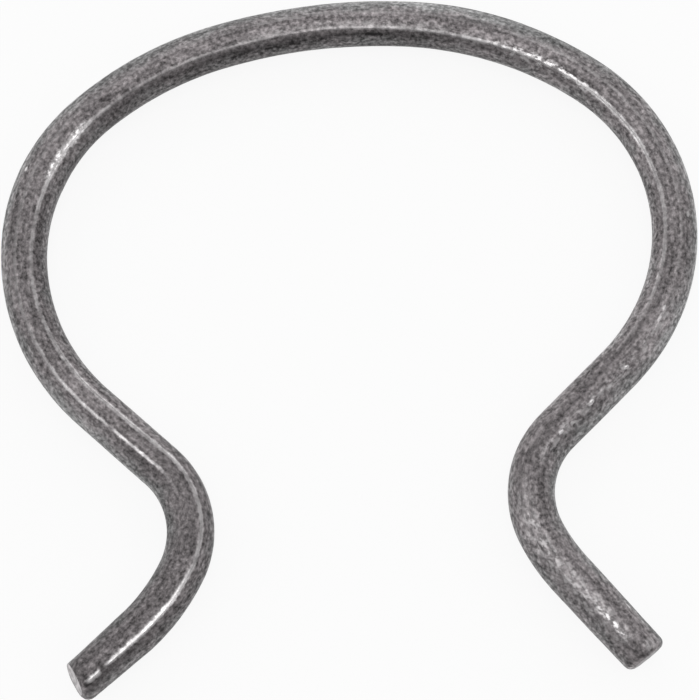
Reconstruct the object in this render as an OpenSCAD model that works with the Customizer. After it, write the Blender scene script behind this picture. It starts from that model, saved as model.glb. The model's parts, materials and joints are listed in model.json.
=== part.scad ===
// Window crank clip: a spring wire bent flat into a horseshoe. The two legs pinch in to a neck that
// snaps into the groove of the spindle, and the feet flare out to lead them on.
// Millimetres. The clip lies on z = 0 with the crown towards +Y, and the spindle's axis is Z.

/* [Wire] */
// Diameter of the round wire
wire_d = 1.83; // [1.4:0.01:2.4]
// Depth of the flat drawn along the top and the bottom of the wire
flat_depth = 0.06; // [0.02:0.01:0.2]
// Lean of the top flat towards the inside of the horseshoe
top_flat_lean = 10; // [-15:1:20]

/* [Grip] */
// Gap between the two necks while the clip is free, a little less than the groove of the spindle
neck_gap = 11.5; // [10:0.1:13]
// Distance from the spindle to the top of the crown, which lies a little to the right of it
crown_offset = 0.75; // [-0.5:0.05:1.5]

/* [Bends, radii at the middle of the wire] */
// Radius of the crown, the flattest part of the horseshoe
crown_r = 22.5; // [18:0.5:30]
// Radius of the bend that leads from the crown into the shoulder
upper_r = 14; // [11:0.5:17]
// Radius of the shoulder, the tightest part of the horseshoe
shoulder_r = 7.7; // [6:0.1:9]
// Radius of the bend that leads from the shoulder into the slant
lower_r = 8.5; // [7:0.5:11]
// Radius of the neck, which bears in the groove of the spindle
neck_r = 3.5; // [2.5:0.1:4.5]
// Radius of the bend that leads from the neck into the foot
foot_r = 7.5; // [5:0.5:10]
// Direction of both slants, as a turn from the top of the crown
slant_angle = 137; // [130:0.5:142]

/* [Left leg] */
// Turn of the crown on the left of its top
left_crown_angle = 15; // [5:0.5:18]
// Turn of the bend from the crown into the left shoulder
left_upper_angle = 24.5; // [18:0.5:32]
// Turn of the left shoulder
left_shoulder_angle = 49; // [40:0.5:70]
// Turn of the left neck
left_neck_angle = 74; // [60:0.5:85]
// Splay of the left foot below the line of the crown
left_foot_angle = 40; // [30:0.5:50]
// Length of the straight end of the left foot
left_foot_len = 2.9; // [1.5:0.05:5]

/* [Right leg] */
// Turn of the crown on the right of its top
right_crown_angle = 5; // [2:0.5:12]
// Turn of the bend from the crown into the right shoulder
right_upper_angle = 32; // [25:0.5:38]
// Turn of the right shoulder
right_shoulder_angle = 74.5; // [60:0.5:80]
// Turn of the right neck
right_neck_angle = 72.5; // [60:0.5:80]
// Splay of the right foot below the line of the crown
right_foot_angle = 50; // [40:0.5:60]
// Length of the straight end of the right foot
right_foot_len = 4.3; // [1.5:0.05:6]

/* [Sheared ends] */
// Pinch of the cutter at the left foot's end, as the share of the wire's thickness that goes
left_pinch = 0.08; // [0:0.01:0.15]
// Lean of the left end's cut, which makes its face look up
left_cut_lean = 18; // [0:1:25]
// Skew of the left end's cut, which sets its outer side back
left_cut_skew = 9; // [-15:1:15]
// Rounding of the left end's edge
left_edge_r = 0.46; // [0.04:0.02:0.5]
// Side that takes the left end's rounding: 1 is the inner side alone, -1 the outer and 0 both
left_edge_side = 1; // [-1:0.1:1]
// Pinch of the cutter at the right foot's end, as the share of the wire's thickness that goes
right_pinch = 0.03; // [0:0.01:0.15]
// Lean of the right end's cut
right_cut_lean = 4; // [0:1:25]
// Skew of the right end's cut
right_cut_skew = -5; // [-15:1:15]
// Rounding of the right end's edge
right_edge_r = 0.3; // [0.04:0.02:0.5]
// Side that takes the right end's rounding: 1 is the inner side alone, -1 the outer and 0 both
right_edge_side = 0; // [-1:0.1:1]

/* [Smoothness] */
// Turn of a bend from one ring of the skin to the next
ring_angle = 4; // [2:1:8]
// Facets on each round side of the wire
side_facets = 12; // [8:1:16]
// Facets across the rounding of a cut edge
edge_facets = 4; // [2:1:5]

/* [Hidden] */

wire_r = wire_d / 2;
// Distance of each flat from the middle of the wire, and half the turn that it takes out of the section
flat_reach = wire_r - flat_depth;
flat_half = acos(flat_reach / wire_r);
// The round sides from flat to flat, as directions: 0 points out of the horseshoe and 90 points up
outer_side = [flat_half - 90, 90 + top_flat_lean - flat_half];
inner_side = [90 + top_flat_lean + flat_half, 270 - flat_half];

// Section of the wire as [out, up] points. The flats are its two long edges.
section = [
    for (side = [outer_side, inner_side])
        for (i = [0:side_facets])
            let (a = side[0] + (side[1] - side[0]) * i / side_facets)
                wire_r * [cos(a), sin(a)]
];
ring_points = len(section);

// The two kinds of piece in a leg, as [radius, turn or length]. A turn is positive to the left.
function bend(radius, turn) = [radius, turn];
function straight(length) = [0, length];

// A pose is [x, y, heading] of the middle of the wire
crown_top = [0, 0, 0];

// Pose at a fraction of the way along a piece
function along(pose, piece, fraction) =
    piece[0] == 0
        ? pose + piece[1] * fraction * [cos(pose.z), sin(pose.z), 0]
        : let (heading = pose.z + piece[1] * fraction, r = sign(piece[1]) * piece[0])
            [
                pose.x + r * (sin(heading) - sin(pose.z)),
                pose.y - r * (cos(heading) - cos(pose.z)),
                heading
            ];

// Pose at the start of piece k of a leg
function start(pieces, k) =
    k == 0 ? crown_top : along(start(pieces, k - 1), pieces[k - 1], 1);

// A leg, piece by piece from the top of the crown to the foot's end, running to the right. Its slant is
// as long as it takes for the neck's throat, where the wire runs straight down, to lie at throat_x.
function leg(throat_x, crown_angle, upper_angle, shoulder_angle, neck_angle, foot_angle, foot_len) =
    let (
        arch = [
            bend(crown_r, -crown_angle),
            bend(upper_r, -upper_angle),
            bend(shoulder_r, -shoulder_angle),
            bend(lower_r, crown_angle + upper_angle + shoulder_angle - slant_angle)
        ],
        neck_in = neck_r * (1 - sin(slant_angle)),
        slant_len = (start(arch, len(arch)).x - neck_in - throat_x) / -cos(slant_angle)
    )
        concat(arch, [
            straight(slant_len),
            bend(neck_r, neck_angle),
            bend(foot_r, slant_angle - neck_angle - foot_angle),
            straight(foot_len)
        ]);
neck_index = 5;

left_leg = leg(neck_gap / 2 + wire_r + crown_offset, left_crown_angle, left_upper_angle,
               left_shoulder_angle, left_neck_angle, left_foot_angle, left_foot_len);
right_leg = leg(neck_gap / 2 + wire_r - crown_offset, right_crown_angle, right_upper_angle,
                right_shoulder_angle, right_neck_angle, right_foot_angle, right_foot_len);

// The spindle's axis, midway between the throats, as seen from the top of the crown
function throat(pieces) =
    along(start(pieces, neck_index), pieces[neck_index], (slant_angle - 90) / pieces[neck_index][1]);
spindle = [-crown_offset, (throat(left_leg).y + throat(right_leg).y) / 2];

// A section's points set across the wire at a pose and pushed along it, each by its own share of a cut
function ring(pose, points = section, push = 0, lean = 0, skew = 0) = [
    for (p = points)
        let (ahead = push - p.y * tan(lean) - p.x * tan(skew))
            [
                pose.x + ahead * cos(pose.z) - p.x * sin(pose.z),
                pose.y + ahead * sin(pose.z) + p.x * cos(pose.z),
                p.y
            ]
];

// The section pinched at a foot's end, and drawn in by the rounding of the cut edge, most on the side that
// takes the rounding
function end_section(pinch, depth, edge_side) =
    let (shrink = depth / wire_r / (1 + abs(edge_side)))
        [for (p = section) (1 - pinch) * ((1 - shrink) * p + shrink * edge_side * [wire_r, 0])];

// Rings down a leg: evenly round the bends, one at the start of a straight, and the rounded cut edge
function leg_rings(pieces, pinch, cut_lean, cut_skew, edge_r, edge_side) = [
    for (k = [0:len(pieces) - 1])
        let (
            from = start(pieces, k),
            rings = pieces[k][0] == 0 ? 1 : max(1, ceil(abs(pieces[k][1]) / ring_angle))
        )
            for (i = [0:rings - 1])
                ring(along(from, pieces[k], i / rings)),
    for (i = [0:edge_facets])
        let (a = 90 * i / edge_facets)
            ring(start(pieces, len(pieces)), end_section(pinch, edge_r * (1 - cos(a)), edge_side),
                 -edge_r * (1 - sin(a)), cut_lean, cut_skew)
];

left_rings = leg_rings(left_leg, left_pinch, left_cut_lean, left_cut_skew, left_edge_r, left_edge_side);
right_rings = leg_rings(right_leg, right_pinch, right_cut_lean, right_cut_skew, right_edge_r,
                        right_edge_side);
last_left = len(left_rings) - 1;

// All rings, from the left foot's end round to the right one's
rings = [
    for (i = [last_left:-1:1]) [for (p = left_rings[i]) [-p.x, p.y, p.z]],
    for (r = right_rings) r
];
last_ring = len(rings) - 1;

// The skin's corners: every ring's points, then the middles of the two cut faces
function middle(points) = [for (p = points) 1] * points / len(points);
skin_points = [
    for (r = rings)
        for (p = r) p,
    middle(rings[0]),
    middle(rings[last_ring])
];
left_middle = len(skin_points) - 2;
right_middle = len(skin_points) - 1;

// The skin's triangles: two for each patch between neighbouring rings, and a fan over each cut face
skin_faces = [
    for (i = [0:last_ring - 1])
        for (j = [0:ring_points - 1])
            let (
                a = i * ring_points + j,
                b = i * ring_points + (j + 1) % ring_points,
                c = a + ring_points,
                d = b + ring_points
            )
                for (face = [[a, d, b], [a, c, d]]) face,
    for (j = [0:ring_points - 1])
        [left_middle, j, (j + 1) % ring_points],
    for (j = [0:ring_points - 1])
        let (first = last_ring * ring_points)
            [right_middle, first + (j + 1) % ring_points, first + j]
];

module clip() {
    color("dimgray")
        translate([-spindle.x, -spindle.y, flat_reach])
            polyhedron(skin_points, skin_faces);
}

clip();
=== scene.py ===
# Window crank clip: a horseshoe of drawn spring wire lying on a pale table.
import json
import math
import bmesh
import bpy
from mathutils import Matrix, Vector

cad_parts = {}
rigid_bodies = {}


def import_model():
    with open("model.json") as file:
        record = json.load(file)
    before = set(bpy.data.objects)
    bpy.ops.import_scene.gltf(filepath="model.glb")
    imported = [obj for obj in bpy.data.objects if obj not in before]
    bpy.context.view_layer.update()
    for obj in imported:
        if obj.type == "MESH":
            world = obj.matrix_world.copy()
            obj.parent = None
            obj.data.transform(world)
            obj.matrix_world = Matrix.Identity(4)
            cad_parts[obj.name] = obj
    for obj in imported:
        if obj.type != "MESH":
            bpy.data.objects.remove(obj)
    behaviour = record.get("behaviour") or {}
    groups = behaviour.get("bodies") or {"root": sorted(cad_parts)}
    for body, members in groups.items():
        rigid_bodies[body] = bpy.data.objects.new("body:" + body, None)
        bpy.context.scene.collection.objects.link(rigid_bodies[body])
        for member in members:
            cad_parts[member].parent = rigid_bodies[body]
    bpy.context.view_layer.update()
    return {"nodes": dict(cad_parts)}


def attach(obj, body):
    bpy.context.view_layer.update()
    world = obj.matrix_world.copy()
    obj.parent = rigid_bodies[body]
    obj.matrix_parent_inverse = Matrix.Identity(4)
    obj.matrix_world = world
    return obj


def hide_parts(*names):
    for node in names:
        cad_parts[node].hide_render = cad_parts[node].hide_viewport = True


for old in list(bpy.data.objects):  # the start-up cube, lamp and camera
    bpy.data.objects.remove(old)
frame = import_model()
print("frame loaded:", ", ".join(frame["nodes"]))

mm = 0.001  # the wire is modelled in millimetres and brought to metres at the end
meetGap = 1e-4  # points or places this close are one
cutGap = 1e-5  # and points this close to a cut lie on it


# small helpers for working in edit mode

def startFresh():
    if bpy.context.object and bpy.context.object.mode == "EDIT":
        bpy.ops.object.mode_set(mode="OBJECT")
    bpy.ops.object.select_all(action="DESELECT")


def nameActive(name):
    obj = bpy.context.object
    obj.name = name
    obj.data.name = name
    return obj


def choose(obj, what, test):  # what is VERT, EDGE or FACE; only those that pass the test stay selected
    bpy.ops.mesh.select_mode(type=what)
    bpy.ops.mesh.select_all(action="DESELECT")
    body = bmesh.from_edit_mesh(obj.data)
    for item in {"VERT": body.verts, "EDGE": body.edges, "FACE": body.faces}[what]:
        if test(item):
            item.select_set(True)
    bmesh.update_edit_mesh(obj.data)


def applyModifier(obj, kind, name, **settings):
    bpy.context.view_layer.objects.active = obj
    bpy.ops.object.modifier_add(type=kind)
    modifier = obj.modifiers[-1]
    modifier.name = name
    for key, value in settings.items():
        setattr(modifier, key, value)
    bpy.ops.object.modifier_apply(modifier=name)


# the wire's path round the spindle's axis, in millimetres and degrees, drawn out from the top of the crown

path = {
    "wireR": 0.915,
    "flatReach": 0.855,  # from the wire's middle to either flat, and so down to the table
    "neckGap": 11.5,  # between the two necks
    "crownOffset": 0.75,  # the top of the crown lies this far to the right of the spindle
    "slantAngle": 137.0,  # turn from the top of the crown to either slant
    "crownR": 22.5, "upperR": 14.0, "shoulderR": 7.7, "lowerR": 8.5, "neckR": 3.5, "footR": 7.5,
    # turns of each leg's bends, the splay of its foot and the foot's straight length
    "left": {"crown": 15.0, "upper": 24.5, "shoulder": 49.0, "neck": 74.0, "splay": 40.0, "foot": 2.9},
    "right": {"crown": 5.0, "upper": 32.0, "shoulder": 74.5, "neck": 72.5, "splay": 50.0, "foot": 4.3},
    "stepAngle": 1.0,  # from point to point round a bend
    "stepLength": 0.4,  # and along a straight
    # how far the drawn flat leans further out than usual, in degrees, at places along the wire from the left
    # foot's end
    "twist": [(0, 11), (4, 10), (8, -2), (10.5, -2), (12.5, 3), (17, 5), (19.5, 8), (22.5, 1), (34, 1),
              (38, 4), (44, -6), (48, -2), (51, -6), (56, -1), (68, -3), (71.5, 8), (77.4, 11)],
    # and the wire's thickness there, as a share of the usual
    "thickness": [(0, 1.0), (3.5, 0.985), (7.5, 1.015), (16, 1.0), (21, 1.005), (24.5, 1.04), (28, 0.99),
                  (36, 0.98), (43.5, 1.02), (49, 0.995), (55.5, 0.98), (60, 1.0), (65, 1.015), (70, 1.005),
                  (74, 1.025), (77.4, 1.01)],
}


def valueAt(stops, place):  # straight between the stops on either side
    for (low, first), (high, second) in zip(stops, stops[1:]):
        if place <= high:
            return first + (second - first) * max(0, (place - low) / (high - low))
    return stops[-1][1]


def bendCentre(corner, heading, radius, turn):
    return corner + math.copysign(radius, turn) * Vector((-heading.y, heading.x, 0))


def goOn(corner, heading, piece, side):  # to the end of a piece, which is (radius, turn) or (0, length)
    radius, amount = piece
    if radius == 0:
        return corner + heading * amount, heading
    turn = math.radians(amount) * side
    centre = bendCentre(corner, heading, radius, turn)
    swing = Matrix.Rotation(turn, 3, "Z")
    return centre + swing @ (corner - centre), swing @ heading


def endOf(pieces):  # where they lead from the top of the crown, going right
    corner, heading = Vector((0, 0, 0)), Vector((1, 0, 0))
    for piece in pieces:
        corner, heading = goOn(corner, heading, piece, 1)
    return corner


def legPieces(leg, throatX):  # the throat is where the neck runs straight down
    slant = path["slantAngle"]
    arch = [
        (path["crownR"], -leg["crown"]),
        (path["upperR"], -leg["upper"]),
        (path["shoulderR"], -leg["shoulder"]),
        (path["lowerR"], leg["crown"] + leg["upper"] + leg["shoulder"] - slant),
    ]
    neckIn = path["neckR"] * (1 - math.sin(math.radians(slant)))  # from the slant's end to the throat
    slantLength = (endOf(arch).x - neckIn - throatX) / -math.cos(math.radians(slant))
    throatY = endOf(arch + [(0, slantLength), (path["neckR"], slant - 90)]).y
    return throatY, arch + [
        (0, slantLength),
        (path["neckR"], leg["neck"]),
        (path["footR"], slant - leg["neck"] - leg["splay"]),
        (0, leg["foot"]),
    ]


def pieceLength(piece):
    return piece[1] if piece[0] == 0 else piece[0] * math.radians(abs(piece[1]))


throatOut = path["neckGap"] / 2 + path["wireR"]  # from the spindle to the wire's middle
leftThroatY, leftPieces = legPieces(path["left"], throatOut + path["crownOffset"])
rightThroatY, rightPieces = legPieces(path["right"], throatOut - path["crownOffset"])
crownTop = Vector((path["crownOffset"], -(leftThroatY + rightThroatY) / 2, path["flatReach"]))
wireLength = sum(pieceLength(p) for p in leftPieces + rightPieces)


def drawLeg(pieces, side):  # side is 1 for the right leg and -1 for the left
    corner, heading = crownTop, Vector((side, 0, 0))
    for radius, amount in pieces:
        if radius == 0:
            steps = math.ceil(amount / path["stepLength"])
            for step in range(steps):
                bpy.ops.mesh.extrude_region_move(
                    TRANSFORM_OT_translate={"value": heading * amount / steps})
        else:
            turn = math.radians(amount) * side
            bpy.ops.mesh.spin(steps=round(abs(amount) / path["stepAngle"]), angle=abs(turn),
                              center=bendCentre(corner, heading, radius, turn),
                              axis=(0, 0, -math.copysign(1, turn)))  # spin turns clockwise
        corner, heading = goOn(corner, heading, (radius, amount), side)


def drawPath():
    startFresh()
    bpy.ops.mesh.primitive_plane_add(size=1, location=crownTop)
    obj = nameActive("wirePath")
    bpy.ops.object.transform_apply(location=True, rotation=True, scale=True)
    bpy.ops.object.mode_set(mode="EDIT")
    bpy.ops.mesh.select_all(action="SELECT")
    bpy.ops.mesh.merge(type="CENTER")
    drawLeg(leftPieces, -1)
    choose(obj, "VERT", lambda v: (v.co - crownTop).length < meetGap)
    drawLeg(rightPieces, 1)
    bpy.ops.mesh.select_all(action="SELECT")
    bpy.ops.mesh.remove_doubles(threshold=meetGap)
    bpy.ops.object.mode_set(mode="OBJECT")
    bpy.ops.object.convert(target="CURVE")
    obj = bpy.context.object
    obj.data.dimensions = "3D"
    obj.data.twist_mode = "Z_UP"
    if obj.data.splines[0].points[0].co.x > 0:  # it has to start at the left foot
        bpy.ops.object.mode_set(mode="EDIT")
        bpy.ops.curve.select_all(action="SELECT")
        bpy.ops.curve.switch_direction()
        bpy.ops.object.mode_set(mode="OBJECT")
    place = 0
    last = obj.data.splines[0].points[0].co
    for point in obj.data.splines[0].points:
        place += (point.co - last).length
        last = point.co
        point.tilt = -math.radians(valueAt(path["twist"], place))
        point.radius = valueAt(path["thickness"], place)
    print("path:", len(obj.data.splines[0].points), "points,", round(place, 2), "mm long")
    return obj


wirePath = drawPath()

# the straight wire, in millimetres: x runs along it from the left foot's end, y points out of the horseshoe
# and z up

wire = {
    "sides": 44,  # round the drawn wire
    "flatLean": 10.0,  # of the top flat, towards the inside
    "cornerWidth": 0.08,  # softened edge of each flat
    "cornerSteps": 3,
    "middleCuts": (24, 24),  # subdivisions of the long middle, one after the other
    "leftCuts": 31,
    "rightCuts": 46,
    "longEdge": 1.0,  # a lengthways edge that is still to be cut is longer than this
    "spare": 0.4,  # cut off by the shears
    # side is 1 where the inner side takes all of the edge's rounding, and 0 where it goes right round
    "leftEnd": {"pinch": 0.08, "lean": 18.0, "skew": 11.0, "edgeR": 0.46, "side": 1.0},
    "rightEnd": {"pinch": 0.03, "lean": 4.0, "skew": -5.0, "edgeR": 0.30, "side": 0.0},
    "edgeSteps": 5,
    # unevenness from the drawing die: size of a cloud, its detail, and height from trough to crest
    "waves": (2.6, 1, 0.018),
    "dimples": (0.42, 2, 0.010),
    "cloudMiddle": 0.55,  # brightness of a cloud that leaves the surface where it is
    "smoothAngle": 40.0,
}


def flatNormal(angle):
    return Vector((0, math.cos(math.radians(angle)), math.sin(math.radians(angle))))


def chooseCap(obj, at):  # the only face with so many corners within a millimetre
    choose(obj, "FACE", lambda f: len(f.verts) > 8 and abs(f.calc_center_median().x - at) < 1)


def extrudeTo(shift, shrink=1.0):
    bpy.ops.mesh.extrude_region_move(TRANSFORM_OT_translate={"value": (shift, 0, 0)})
    if shrink != 1.0:
        bpy.ops.transform.resize(value=(1, shrink, shrink), center_override=(0, 0, 0))


def pullFoot(length, end, facing):  # out to its pinched end; facing is 1 at the right and -1 at the left
    run = length + wire["spare"]
    extrudeTo(facing * run, 1 - end["pinch"] * run / (length - end["edgeR"]))


def cutAcross(obj, low, high, cuts):  # the lengthways edges between two places
    choose(obj, "EDGE", lambda e: abs(e.verts[0].co.x - e.verts[1].co.x) > wire["longEdge"]
           and all(low - meetGap < v.co.x < high + meetGap for v in e.verts))
    bpy.ops.mesh.subdivide(number_cuts=cuts)


def shearEnd(obj, end, at, facing):
    lean, skew = (math.tan(math.radians(end[k])) for k in ("lean", "skew"))
    start = at - facing * end["edgeR"]
    bpy.ops.mesh.select_all(action="SELECT")
    bpy.ops.mesh.bisect(plane_co=(start, 0, 0), plane_no=Vector((facing, skew, lean)).normalized(),
                        clear_outer=True, use_fill=True, threshold=cutGap)
    keepY = end["side"] * path["wireR"] * (1 - end["pinch"])  # the side where the edge stays square
    share = 1 / path["wireR"] / (1 + abs(end["side"]))  # of the section, for each millimetre of rounding
    lastPush, lastShrink = 0.0, 1.0
    for step in range(1, wire["edgeSteps"] + 1):
        angle = math.radians(90 * step / wire["edgeSteps"])
        push = end["edgeR"] * math.sin(angle)
        shrink = 1 - end["edgeR"] * (1 - math.cos(angle)) * share
        chooseCap(obj, at)
        extrudeTo(facing * (push - lastPush))
        pivot = (start + facing * push - facing * keepY * skew, keepY, 0)
        bpy.ops.transform.resize(value=(shrink / lastShrink,) * 3, center_override=pivot)
        lastPush, lastShrink = push, shrink
    obj.active_material_index = 1
    bpy.ops.object.material_slot_assign()


def makeWire():
    startFresh()
    left, right = path["left"]["foot"], path["right"]["foot"]
    leftStart, rightStart = left, wireLength - right  # where the straight feet begin
    bpy.ops.mesh.primitive_circle_add(vertices=wire["sides"], radius=path["wireR"], fill_type="NGON",
                                      location=(leftStart, 0, 0), rotation=(0, math.pi / 2, 0))
    obj = nameActive("clipWire")
    bpy.ops.object.transform_apply(location=True, rotation=True, scale=True)
    for name in ("drawnSpringSteel", "shearedSpringSteel"):  # the second one only for the two cut faces
        obj.data.materials.append(bpy.data.materials.new(name))
    bpy.ops.object.mode_set(mode="EDIT")
    flats = [flatNormal(90 + wire["flatLean"]), flatNormal(270)]
    for normal in flats:
        bpy.ops.mesh.select_all(action="SELECT")
        bpy.ops.mesh.bisect(plane_co=normal * path["flatReach"], plane_no=normal, clear_outer=True,
                            threshold=cutGap)
    choose(obj, "VERT", lambda v: any(abs(v.co.dot(n) - path["flatReach"]) < meetGap for n in flats))
    bpy.ops.mesh.bevel(offset=wire["cornerWidth"], segments=wire["cornerSteps"], affect="VERTICES")
    bpy.ops.mesh.select_all(action="SELECT")
    extrudeTo(rightStart - leftStart)
    pullFoot(right, wire["rightEnd"], 1)
    chooseCap(obj, leftStart)
    pullFoot(left, wire["leftEnd"], -1)
    for cuts in wire["middleCuts"]:
        cutAcross(obj, leftStart, rightStart, cuts)
    cutAcross(obj, -wire["spare"], leftStart, wire["leftCuts"])
    cutAcross(obj, rightStart, wireLength + wire["spare"], wire["rightCuts"])
    shearEnd(obj, wire["rightEnd"], wireLength, 1)
    shearEnd(obj, wire["leftEnd"], 0.0, -1)
    bpy.ops.mesh.select_all(action="SELECT")
    bpy.ops.mesh.normals_make_consistent(inside=False)
    bpy.ops.object.mode_set(mode="OBJECT")
    return obj


def roughen(obj, name):
    size, detail, height = wire[name]
    texture = bpy.data.textures.new(name, "CLOUDS")
    texture.noise_scale = size
    texture.noise_depth = detail
    applyModifier(obj, "DISPLACE", name, texture=texture, texture_coords="LOCAL", strength=height,
                  mid_level=wire["cloudMiddle"])


def keepStraightPlaces(obj):  # patterns follow the wire from these
    places = obj.data.attributes.new("straight", "FLOAT_VECTOR", "POINT")
    places.data.foreach_set("vector", [c for v in obj.data.vertices for c in v.co])


def restOnTable(obj):  # whatever reaches below the table is pressed into the lower flat
    startFresh()
    obj.select_set(True)
    bpy.context.view_layer.objects.active = obj
    bpy.ops.object.mode_set(mode="EDIT")
    choose(obj, "VERT", lambda v: v.co.z < 0)
    bpy.ops.transform.resize(value=(1, 1, 0), center_override=(0, 0, 0))
    bpy.ops.object.mode_set(mode="OBJECT")


def toMetres(obj):
    obj.scale = (mm,) * 3
    bpy.ops.object.transform_apply(location=True, rotation=True, scale=True)


clipWire = makeWire()
roughen(clipWire, "waves")
roughen(clipWire, "dimples")
keepStraightPlaces(clipWire)
applyModifier(clipWire, "CURVE", "bend", object=wirePath, deform_axis="POS_X")
bpy.data.objects.remove(wirePath)
restOnTable(clipWire)
toMetres(clipWire)
bpy.ops.object.shade_smooth_by_angle(angle=math.radians(wire["smoothAngle"]))
print("wire:", len(clipWire.data.polygons), "faces,", round(wireLength, 2), "mm long")


# materials: a socket that takes part in sums, and a tree that makes any other node

class Signal:
    def __init__(self, tree, socket):
        self.tree = tree
        self.socket = socket

    def maths(self, operation, *others):
        return self.tree.node("Math", {"operation": operation}, dict(enumerate((self, *others))))

    def after(self, first, operation):  # for a number on the left of the sign
        return self.tree.node("Math", {"operation": operation}, {0: first, 1: self})

    def __add__(self, other):
        return self.maths("ADD", other)

    def __radd__(self, other):
        return self.after(other, "ADD")

    def __sub__(self, other):
        return self.maths("SUBTRACT", other)

    def __rsub__(self, other):
        return self.after(other, "SUBTRACT")

    def __mul__(self, other):
        return self.maths("MULTIPLY", other)

    def __rmul__(self, other):
        return self.after(other, "MULTIPLY")

    def __truediv__(self, other):
        return self.maths("DIVIDE", other)

    def __rtruediv__(self, other):
        return self.after(other, "DIVIDE")

    def __pow__(self, other):
        return self.maths("POWER", other)

    def __rpow__(self, other):
        return self.after(other, "POWER")

    def lower(self, other):
        return self.maths("MINIMUM", other)

    def higher(self, other):
        return self.maths("MAXIMUM", other)

    def root(self):
        return self.maths("SQRT")

    def absolute(self):
        return self.maths("ABSOLUTE")

    def ramp(self, low, high, start=0.0, end=1.0):  # smooth from start to end as the value goes up
        limits = {"From Min": low, "From Max": high, "To Min": start, "To Max": end}
        return self.tree.node("MapRange", {"interpolation_type": "SMOOTHSTEP"}, {"Value": self, **limits})


class Tree:
    def __init__(self, holder):
        holder.use_nodes = True
        self.tree = holder.node_tree
        self.tree.nodes.clear()

    def node(self, kind, settings=None, inputs=None, output=0):
        made = self.tree.nodes.new("ShaderNode" + kind)
        for key, value in (settings or {}).items():
            if key == "stops":
                ramp = made.color_ramp
                ramp.interpolation = "EASE"
                while len(ramp.elements) < len(value):
                    ramp.elements.new(0.5)
                for element, (place, level) in zip(ramp.elements, value):
                    element.position = place
                    element.color = (level, level, level, 1)
            else:
                setattr(made, key, value)
        for key, value in (inputs or {}).items():
            if isinstance(value, Signal):
                self.tree.links.new(value.socket, made.inputs[key])
            else:
                made.inputs[key].default_value = value
        return Signal(self, made.outputs[output]) if made.outputs else made

    def also(self, signal, output):  # another output of the same node
        return Signal(self, signal.socket.node.outputs[output])

    def noise(self, places, stretch, scale, detail, roughness):
        places = self.node("VectorMath", {"operation": "MULTIPLY"}, {0: places, 1: stretch})
        return self.node("TexNoise", None, {"Vector": places, "Scale": scale, "Detail": detail,
                                            "Roughness": roughness})

    def blend(self, factor, first, second):
        return self.node("Mix", {"data_type": "RGBA"}, {0: factor, 6: first, 7: second}, 2)

    def dim(self, colour, level):
        return self.node("VectorMath", {"operation": "SCALE"}, {0: colour, "Scale": level})

    def metal(self, colour, roughness, height, strength, depth):
        bump = self.node("Bump", None, {"Strength": strength, "Distance": depth, "Height": height})
        shader = self.node("BsdfPrincipled", None, {
            "Base Color": colour, "Metallic": 1.0, "Roughness": roughness, "Normal": bump})
        self.node("OutputMaterial", None, {"Surface": shader})


flatHalf = math.degrees(math.acos(path["flatReach"] / path["wireR"]))  # half the turn that a flat takes up

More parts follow.
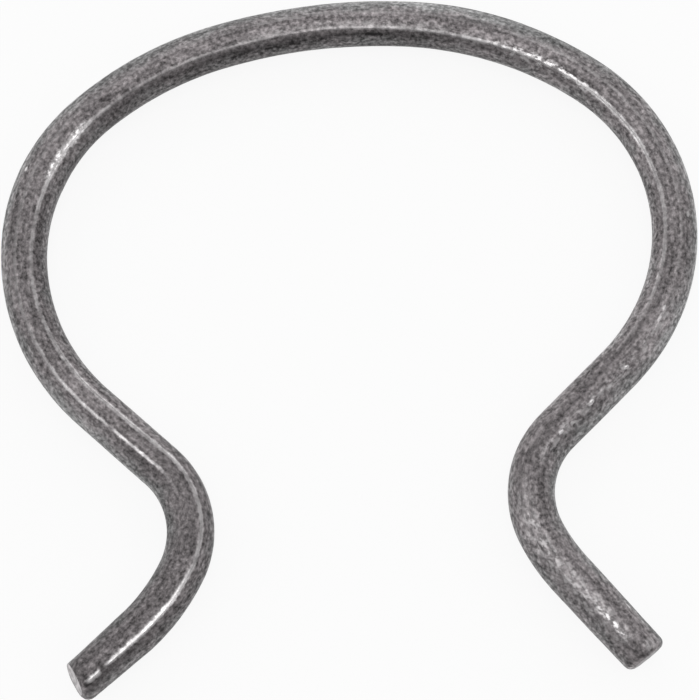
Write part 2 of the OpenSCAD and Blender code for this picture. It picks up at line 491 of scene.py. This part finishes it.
steel = {
    "colour": (0.222, 0.205, 0.209, 1),
    "cooler": (0.2095, 0.2085, 0.209, 1),  # down the wire's sides: a painted reflection of the surroundings, mixed with random tints
    # colour of the burnished wear, and of the painted highlights and glints
    "wearAndHighlight": (0.93, 0.905, 0.91, 1),
    "roughness": 0.45,
    "wearAndHighlightPolish": 0.2,  # how much smoother the steel is where it is worn and where highlights are painted
    "grainPolish": 0.3,  # and on the light grain
    "bump": (0.5, 0.00002),  # strength, and depth in metres
    # each pattern: stretch along, out and up, scale per millimetre, detail, roughness
    "grain": ((0.85, 1, 1), 6.8, 3.0, 0.6),
    "streaks": ((0.07, 1, 1), 3.6, 4.0, 0.6),
    "patches": ((0.35, 1, 1), 1.6, 2.0, 0.5),
    "pits": ((0.6, 1, 1), 2.4, 3.0, 0.6),
    "wander": ((1, 0, 0), 1.8, 4.0, 0.75),  # of lines and marks to either side
    "breaks": ((1, 0.6, 0.6), 1.5, 5.0, 0.65),  # in the lines of burnish and painted highlight
    "flecks": ((0.6, 1, 1), 5.2, 3.0, 0.65),
    "tints": ((1, 1, 1), 1.2, 3.0, 0.6),
    # how much of it there is
    "grainShare": 3.4, "streakShare": 2.0, "patchShare": 0.75, "pitShare": 0.45, "tintShare": 1.1,
    "wanderWidth": 0.18,  # millimetres from side to side
    # and between which of its levels it comes in
    "pitLimits": (0.62, 0.72), "breakLimits": (0.38, 0.62), "fleckLimits": (0.46, 0.62),
    "topContrast": 0.5,  # of grain, streaks, patches and pits together, on top of the wire
    "sideContrast": 0.65,  # and down its sides
    "patternFloor": 0.5,  # its square is the least that they leave of the steel's lightness
    # where the sides come in for the painted light and shade, the contrast and the cooler colour of the
    # painted reflection, as shares of the wire's radius
    "outerSide": (0.15, 0.9), "innerSide": (0.55, 0.9),
    "contrastSides": (0.6, 1.0), "coolerSides": (0.5, 1.2),
    "coolerShift": 0.15,  # how much nearer the top the outer side turns cooler, with the painted reflection
    "crown": (24, 31, 46, 53),  # from where to where the crown's outer side takes still more of the painted cooler reflection, and back again
    "crownShift": 0.3,
    # edges of the top flat, in degrees round the wire from its outer side, with a line along each, partly
    # burnished steel and partly painted highlight
    "outerEdge": 90 + wire["flatLean"] - flatHalf,
    "innerEdge": 90 + wire["flatLean"] + flatHalf,
    "lineWidth": 0.07,  # half the width of a faint line
    "lineGrowth": 0.05,  # of that half, by the time the line is at its brightest
    "lineRagged": 0.7, "markRagged": 0.8,  # how far the grain frays their edges
    # how bright the lines are painted, burnish and highlight together, at places along the wire from the left
    # foot's end
    "outerLine": [(0, 0), (8.6, 0), (9.8, 0.1), (16, 0.26), (22, 0.1), (32, 0.07), (37.5, 0.12), (44, 0.06),
                  (47.5, 0.14), (58, 0.08), (61, 0.0)],
    "innerLine": [(0, 0), (5, 0.25), (6, 0.42), (8, 0.3), (11, 0.5), (15, 0.4), (19, 0.22), (24, 0.28),
                  (29, 0.22), (36, 0.14), (40, 0.22), (43, 0.4), (53, 0.36), (56, 0.36), (59, 0.25),
                  (64, 0.0)],
    # how much lighter or darker the steel is made there altogether, and the painted light and shade on the
    # wire's outer and inner side; 0.5 changes nothing
    "tone": [(0, 0.25), (5, 0.27), (8, 0.39), (12, 0.46), (22, 0.40), (34, 0.45), (40, 0.54), (50, 0.48),
             (63, 0.56), (70, 0.41), (77, 0.43)],
    "outerLightAndShade": [(0, 0.44), (8, 0.38), (12, 0.56), (24, 0.72), (55, 0.69), (61, 0.50), (67, 0.32),
                  (77, 0.75)],
    "innerLightAndShade": [(0, 0.38), (11, 0.5), (20, 0.35), (30, 0.06), (44, 0.1), (50, 0.36), (65, 0.74),
                  (70, 0.52)],
    # rubbed marks and painted highlights: angle round the wire, half width, start and end along it, fade at
    # each, how far towards the light colour, and how far broken into flecks
    "rubsAndHighlights": [
        (122, 0.13, 0.36, 1.02, 0.08, 0.06, 1.0, 0.0),
        (121, 0.10, 1.36, 5.15, 0.18, 0.60, 0.90, 0.4),
        (118, 0.14, 1.60, 5.60, 0.50, 0.80, 0.20, 0.3),
        (79, 0.06, 10.3, 12.6, 0.60, 0.12, 0.70, 0.5),
        (79, 0.06, 13.0, 15.4, 0.15, 1.00, 0.65, 0.5),
        (119, 0.17, 24.5, 27.3, 0.50, 0.60, 1.0, 0.7),
        (112, 0.17, 34.5, 43.5, 1.50, 1.50, 0.17, 0.8),
        (123, 0.20, 45.2, 49.8, 1.90, 0.60, 0.88, 1.0),
        (121, 0.10, 49.5, 53.5, 0.60, 0.80, 0.55, 0.6),
        (72, 0.22, 60.0, 68.4, 0.80, 0.80, 0.22, 1.0),
        (116, 0.36, 69.6, 76.4, 1.20, 0.30, 0.33, 0.8),
        (112, 0.09, 74.8, 76.3, 0.60, 0.15, 0.62, 0.8),
        (80, 0.30, 76.9, 77.3, 0.10, 0.10, 0.30, 0.8),
    ],
    # darker marks in the same way, with how dark in place of how far towards the light colour
    "darkened": [
        (119, 0.10, 1.10, 1.26, 0.05, 0.05, 0.7, 0.0),
        (111, 0.13, 60.4, 65.4, 0.60, 0.80, 0.35, 0.6),
        (94, 0.16, 34.6, 35.05, 0.10, 0.10, 0.5, 0.3),
        (87, 0.13, 26.1, 26.6, 0.10, 0.10, 0.45, 0.4),
        (103, 0.12, 28.2, 28.9, 0.10, 0.10, 0.30, 0.4),
        # painted shade on the right end's rounded edge
        (103, 0.35, 77.3, 77.9, 0.05, 0.10, 0.40, 0.4),
    ],
    # glints: place along the wire, angle round it, and how bright
    "glints": [(60.4, 80, 0.5), (60.9, 78, 0.4), (63.2, 72, 1.0), (64.2, 70, 0.5), (65.2, 72, 1.0),
               (66.3, 70, 0.6), (66.9, 73, 1.0), (24.4, 55, 0.8), (56.5, 58, 0.5), (75.5, 47, 0.6),
               (76.3, 47, 0.5)],
    "glintSize": (0.11, 0.06),  # along the wire and across it
    "paintedGlintLevel": 0.8,  # how far the brightest painted glint goes towards the light colour
}


def makeSteel(material):
    t = Tree(material)
    places = t.node("Attribute", {"attribute_name": "straight"}, None, "Vector")
    out = t.node("SeparateXYZ", None, {"Vector": places}, "Y")
    up = t.also(out, "Z")
    along = t.also(out, "X")
    side = out / path["wireR"]  # 1 on the outer side, 0 on top and -1 on the inner side
    grain, streaks, patches, pits, wander, breaks, flecks, tints = (
        t.noise(places, *steel[name])
        for name in ("grain", "streaks", "patches", "pits", "wander", "breaks", "flecks", "tints"))

    def level(name):  # the level at this place along the wire
        stops = [(x / wireLength, strength) for x, strength in steel[name]]
        return t.node("ValToRGB", {"stops": stops}, {"Fac": along / wireLength})

    def offLine(angle, sideways):  # how far it is to a line along the wire, squared
        y, z = (path["wireR"] * f(math.radians(angle)) for f in (math.cos, math.sin))
        return (sideways - y) ** 2 + (up - z) ** 2

    def band(angle, half, ragged):  # 1 on such a line, fading to 0 on both sides
        shifted = out + (wander - 0.5) * steel["wanderWidth"]
        gap = offLine(angle, shifted).root() / (grain * ragged + 1 - ragged / 2)
        return gap.ramp(half * 0.3, half * 1.5, 1.0, 0.0)

    def line(edge, name):
        burnishAndHighlight = level(name)
        half = burnishAndHighlight * steel["lineGrowth"] + steel["lineWidth"]
        whole = 0.5 + breaks.ramp(*steel["breakLimits"])
        return band(steel[edge], half, steel["lineRagged"]) * burnishAndHighlight * whole

    def mark(angle, half, start, end, fadeIn, fadeOut, strength, flecked):
        begun = along.ramp(start - fadeIn, start + fadeIn)
        notOver = along.ramp(end - fadeOut, end + fadeOut, 1.0, 0.0)
        fleck = flecks.ramp(*steel["fleckLimits"], 1 - flecked, 1.0 + flecked * 0.2)
        return band(angle, half, steel["markRagged"] + flecked * 0.5) * begun * notOver * fleck * strength

    def glint(place, angle, strength):
        length, width = steel["glintSize"]
        gap = (((along - place) / length) ** 2 + offLine(angle, out) / width ** 2).root()
        return (gap / (flecks * 2)).ramp(0.5, 1.5, steel["paintedGlintLevel"] * strength, 0.0)

    # lines and rubbed marks, partly burnished steel and partly painted highlight, and the painted glints
    wearAndHighlight = line("outerEdge", "outerLine") + line("innerEdge", "innerLine")
    for values in steel["rubsAndHighlights"]:
        wearAndHighlight = wearAndHighlight + mark(*values)
    for values in steel["glints"]:
        wearAndHighlight = wearAndHighlight + glint(*values)
    wearAndHighlight = wearAndHighlight.lower(1.0)
    light = 1
    for values in steel["darkened"]:
        light = light - mark(*values)

    # painted light and shade on the wire's outer and inner side
    outerLightAndShade = side.ramp(*steel["outerSide"]) * (level("outerLightAndShade") - 0.5)
    innerLightAndShade = (side * -1).ramp(*steel["innerSide"]) * (level("innerLightAndShade") - 0.5)
    tone = (0.5 + level("tone")) * (1 + outerLightAndShade + innerLightAndShade)
    uneven = ((grain - 0.5) * steel["grainShare"] + (streaks - 0.5) * steel["streakShare"]
              + (patches - 0.5) * steel["patchShare"] - pits.ramp(*steel["pitLimits"]) * steel["pitShare"])
    contrast = side.absolute().ramp(*steel["contrastSides"], steel["topContrast"], steel["sideContrast"])
    shade = tone * (1 + uneven * contrast).higher(steel["patternFloor"]) ** 2 * light

    # the sides turn cooler as a painted reflection of the surroundings, mixed with random tints
    crownStart, crownFull, crownFades, crownEnd = steel["crown"]
    crown = along.ramp(crownStart, crownFull) * along.ramp(crownFades, crownEnd, 1.0, 0.0)
    coolerSide = side + steel["coolerShift"] + crown * side.ramp(0.0, 0.3) * steel["crownShift"]
    hue = (coolerSide.absolute() + (tints - 0.5) * steel["tintShare"]).ramp(*steel["coolerSides"])
    colour = t.dim(t.blend(hue, steel["colour"], steel["cooler"]), shade)
    roughness = steel["roughness"] - wearAndHighlight * steel["wearAndHighlightPolish"] - (grain - 0.5) * steel["grainPolish"]
    t.metal(t.blend(wearAndHighlight, colour, steel["wearAndHighlight"]), roughness, grain * 0.7 + streaks * 0.3, *steel["bump"])


shear = {
    # one sheared steel in two copies: painted light on the left face, painted shade on the right one
    "leftLitColour": (0.50, 0.48, 0.485, 1),
    "rightShadedColour": (0.30, 0.285, 0.29, 1),
    "roughness": 0.5,
    "bump": (0.6, 0.00003),
    "tears": ((1, 1, 0.3), 5.0, 4.0, 0.6),  # upright, and otherwise as the steel's patterns
    "tearShare": 2.4,
    "burrShadow": (0.25, 0.65),  # painted shadow of the burr: from how far below the wire's middle the face is darker, and fully so
    "burrShadowShare": 0.6,
}


def makeShearedSteel(material):
    t = Tree(material)
    places = t.node("Attribute", {"attribute_name": "straight"}, None, "Vector")
    along = t.node("SeparateXYZ", None, {"Vector": places}, "X")
    up = t.also(along, "Z")
    tears = t.noise(places, *shear["tears"])
    # painted shadow of the burr along the face's lower part
    burrShadow = (up * -1).ramp(*shear["burrShadow"])
    shade = (1 + (tears - 0.5) * shear["tearShare"]) * (1 - burrShadow * shear["burrShadowShare"])
    # painted light on the left face and painted shade on the right one
    colour = t.blend((along / wireLength).ramp(0.4, 0.6), shear["leftLitColour"], shear["rightShadedColour"])
    t.metal(t.dim(colour, shade), shear["roughness"], tears, *shear["bump"])


makeSteel(clipWire.data.materials[0])
makeShearedSteel(clipWire.data.materials[1])
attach(clipWire, "root")
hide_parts("clip")
print("steel done")


# table, light and camera, in metres unless noted

studio = {
    "tableSize": 3.0,
    "tableColour": (0.95, 0.95, 0.95, 1),
    "tableGlow": 0.90,  # share of the table's white that doesn't depend on the lamps
    "worldLevel": 0.30,
    "middle": (0, 0.007, 0),  # the lamps point here
    "lampDistance": 0.42,
    "lamps": [  # name, direction as azimuth and elevation, size, radiance
        ("backLamp", 90, 24, 0.36, 1.0),
        ("backLeftLamp", 135, 24, 0.36, 1.0),
        ("backRightLamp", 45, 24, 0.36, 1.0),
        ("leftLamp", 195, 24, 0.40, 0.8),
        ("rightLamp", -15, 24, 0.40, 0.8),
        ("topLamp", 90, 85, 0.32, 1.1),
        ("frontLamp", 270, 62, 0.34, 0.35),
    ],
}


def makeTable():
    startFresh()
    bpy.ops.mesh.primitive_plane_add(size=studio["tableSize"], location=(0, 0, 0))
    table = nameActive("paleTable")
    material = bpy.data.materials.new("paleTable")
    t = Tree(material)
    rays = t.node("LightPath", None, None, "Is Camera Ray")
    seen = rays.higher(t.also(rays, "Is Glossy Ray")).higher(t.also(rays, "Is Transmission Ray"))
    lit = t.node("BsdfDiffuse", None, {"Color": studio["tableColour"]})
    glow = t.node("Emission", None, {"Color": (1, 1, 1, 1), "Strength": 1.0})
    shader = t.node("MixShader", None, {0: seen * studio["tableGlow"], 1: lit, 2: glow})
    t.node("OutputMaterial", None, {"Surface": shader})
    table.data.materials.append(material)


def makeLamps():
    for name, azimuth, elevation, size, radiance in studio["lamps"]:
        a, e = math.radians(azimuth), math.radians(elevation)
        way = Vector((math.cos(a) * math.cos(e), math.sin(a) * math.cos(e), math.sin(e)))
        place = Vector(studio["middle"]) + way * studio["lampDistance"]
        bpy.ops.object.light_add(type="AREA", location=place, rotation=way.to_track_quat("Z", "Y").to_euler())
        lamp = bpy.context.object
        lamp.name = name
        lamp.data.shape = "DISK"
        lamp.data.size = size
        lamp.data.energy = radiance * math.pi * math.pi * size * size / 4


def makeWorld():
    world = bpy.data.worlds.new("studio")
    bpy.context.scene.world = world
    t = Tree(world)
    background = t.node("Background", None, {"Color": (1, 1, 1, 1), "Strength": studio["worldLevel"]})
    t.node("OutputWorld", None, {"Surface": background})


view = {
    "target": (-0.2175, 6.5242, 0.855),  # millimetres
    "distance": 84.0,
    "tilt": 13.0,
    "roll": 2.0,
    "focal": 2116.8,  # in pixels, as the shift is
    "shift": (-0.5, 0.78),
    "pixels": 700,  # down the picture
}


def makeCamera():
    tilt = Matrix.Rotation(math.radians(view["tilt"]), 3, "X")
    turn = tilt @ Matrix.Rotation(math.radians(-view["roll"]), 3, "Z")
    place = Vector(view["target"]) + turn @ Vector((0, 0, view["distance"]))
    bpy.ops.object.camera_add(location=place * mm, rotation=turn.to_euler())
    camera = bpy.context.object
    camera.name = "camera"
    camera.data.sensor_width = 36  # of film, across the longer side
    camera.data.lens = view["focal"] / view["pixels"] * camera.data.sensor_width
    camera.data.shift_x = view["shift"][0] / view["pixels"]
    camera.data.shift_y = view["shift"][1] / view["pixels"]
    camera.data.clip_start = 0.001
    bpy.context.scene.camera = camera


makeTable()
makeLamps()
makeWorld()
makeCamera()
bpy.context.scene.view_settings.view_transform = "Standard"
print("studio done")
